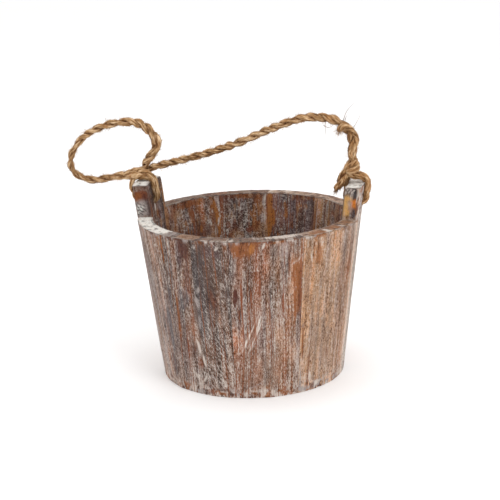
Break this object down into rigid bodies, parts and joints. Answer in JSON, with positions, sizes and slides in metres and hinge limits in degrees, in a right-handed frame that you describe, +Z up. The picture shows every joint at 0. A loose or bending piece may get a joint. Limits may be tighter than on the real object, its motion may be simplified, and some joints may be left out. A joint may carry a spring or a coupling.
{
  "type": "wishing well planter bucket",
  "caption": "Round tapered wooden bucket planter without hoops: staves round a plank bottom, two raised ears, and a twisted jute rope handle with a spare loop tied through the ears.",
  "frame": {"origin": "centre of the bucket's foot, in the plane that it stands on", "axes": "+Z up through the open mouth, +X towards the right ear, -Y towards the front of the bucket"},
  "size_m": [0.2791, 0.1998, 0.234],
  "materials": {
    "stave_wood": "matte",
    "bottom_wood": "matte",
    "pin_wood": "matte",
    "jute_rope": "matte"
  },
  "bodies": {
    "root": {"ear_stave_right": "stave_wood", "stave_back_1": "stave_wood", "stave_back_2": "stave_wood", "stave_back_3": "stave_wood", "stave_back_4": "stave_wood", "ear_stave_left": "stave_wood", "stave_front_1": "stave_wood", "stave_front_2": "stave_wood", "stave_front_3": "stave_wood", "stave_front_4": "stave_wood", "bottom_plank_front": "bottom_wood", "bottom_plank_middle": "bottom_wood", "bottom_plank_back": "bottom_wood", "stave_pin_1_lower": "pin_wood", "stave_pin_1_upper": "pin_wood", "stave_pin_2_lower": "pin_wood", "stave_pin_2_upper": "pin_wood", "stave_pin_3_lower": "pin_wood", "stave_pin_3_upper": "pin_wood", "stave_pin_4_lower": "pin_wood", "stave_pin_4_upper": "pin_wood", "stave_pin_5_lower": "pin_wood", "stave_pin_5_upper": "pin_wood", "stave_pin_6_lower": "pin_wood", "stave_pin_6_upper": "pin_wood", "stave_pin_7_lower": "pin_wood", "stave_pin_7_upper": "pin_wood", "stave_pin_8_lower": "pin_wood", "stave_pin_8_upper": "pin_wood", "stave_pin_9_lower": "pin_wood", "stave_pin_9_upper": "pin_wood", "stave_pin_10_lower": "pin_wood", "stave_pin_10_upper": "pin_wood", "rope_knot_right": "jute_rope", "rope_knot_left": "jute_rope"},
    "handle": {"rope_handle": "jute_rope"},
    "loop": {"rope_loop": "jute_rope"}
  },
  "joints": [
    {"name": "handle_swing", "type": "hinge", "parent": "root", "child": "handle", "pos_m": [0.094, 0.00334, 0.19], "axis": [0.9998, 0, 0.0221], "range_deg": [-90, 90]},
    {"name": "loop_swing", "type": "hinge", "parent": "root", "child": "loop", "pos_m": [-0.094, 0.00334, 0.19], "axis": [0.8633, 0, 0.5046], "range_deg": [-90, 90]}
  ]
}
